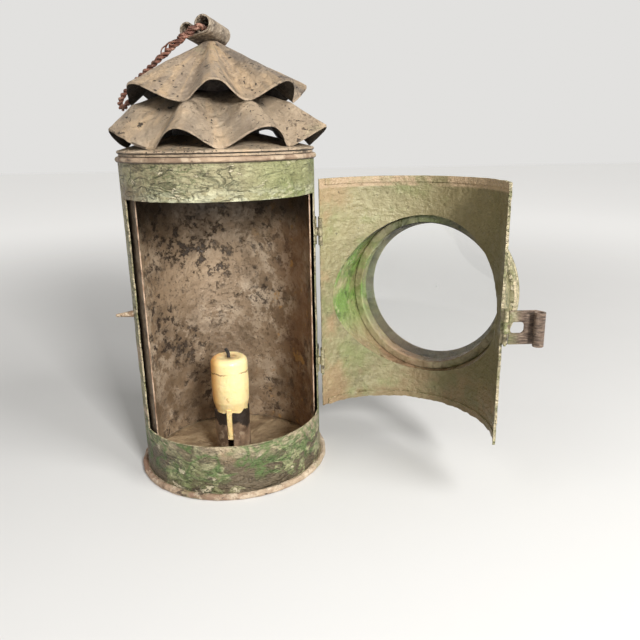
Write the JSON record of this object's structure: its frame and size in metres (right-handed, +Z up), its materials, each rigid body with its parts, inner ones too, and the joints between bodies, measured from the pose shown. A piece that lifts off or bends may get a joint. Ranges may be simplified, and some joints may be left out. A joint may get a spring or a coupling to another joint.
{
  "type": "bullseye lantern",
  "caption": "Round tin candle lantern with fluted vent caps, a turning inner shutter, and an arched door that carries a tubular lens mount and a hasp.",
  "frame": {"origin": "middle of the foot on the body's axis, at the level of the surface it stands on", "axes": "+Z up along the body's axis; the door opening faces -Y, the door's hinge is on the +X side"},
  "size_m": [0.2041, 0.1105, 0.2251],
  "materials": {
    "green_paint": "flaking, rust-stained",
    "cap_tin": "worn, pitted",
    "bare_tin": "tarnished",
    "iron": "rusty",
    "rusty_wire": "rusty",
    "wax": "waxy",
    "wick_thread": "charred",
    "clear_glass": "clear"
  },
  "bodies": {
    "lantern_body": {"outer_shell": "green_paint", "top_bead": "green_paint", "bottom_pan": "green_paint", "catch_stud": "iron", "candle_socket": "bare_tin", "candle": "wax", "wick": "wick_thread", "body_hinge_leaf_upper": "green_paint", "body_hinge_leaf_lower": "green_paint", "hinge_pin_upper": "iron", "hinge_pin_lower": "iron"},
    "hood": {"hood_cone": "bare_tin", "shutter": "bare_tin", "vent_neck": "bare_tin", "lower_cap": "cap_tin", "upper_cap": "cap_tin", "bail_ear": "iron"},
    "bail_loop": {"bail": "rusty_wire"},
    "door": {"door_panel": "green_paint", "lens_tube": "green_paint", "retaining_ring": "green_paint", "bezel_rim": "green_paint", "lens_glass": "clear_glass", "hasp_leaf": "green_paint", "hasp_pin": "iron", "door_hinge_leaf_upper": "green_paint", "door_hinge_leaf_lower": "green_paint"},
    "hasp_strap": {"hasp": "iron"}
  },
  "joints": [
    {"name": "door_hinge", "type": "hinge", "parent": "lantern_body", "child": "door", "pos_m": [0.05014, -0.00333, 0.09], "axis": [0, 0, 1], "range_deg": [-135.5, 30]},
    {"name": "hasp_hinge", "type": "hinge", "parent": "door", "child": "hasp_strap", "pos_m": [0.13194, -0.05445, 0.0886], "axis": [0, 0, 1], "range_deg": [-92, 20]},
    {"name": "hood_turn", "type": "hinge", "parent": "lantern_body", "child": "hood", "pos_m": [0, 0, 0.18], "axis": [0, 0, 1], "range_deg": [0, 180]},
    {"name": "bail_swing", "type": "hinge", "parent": "hood", "child": "bail_loop", "pos_m": [0.0014, 0, 0.2179], "axis": [0.3055, 0.9404, -0.1495], "range_deg": [0, 225]}
  ]
}
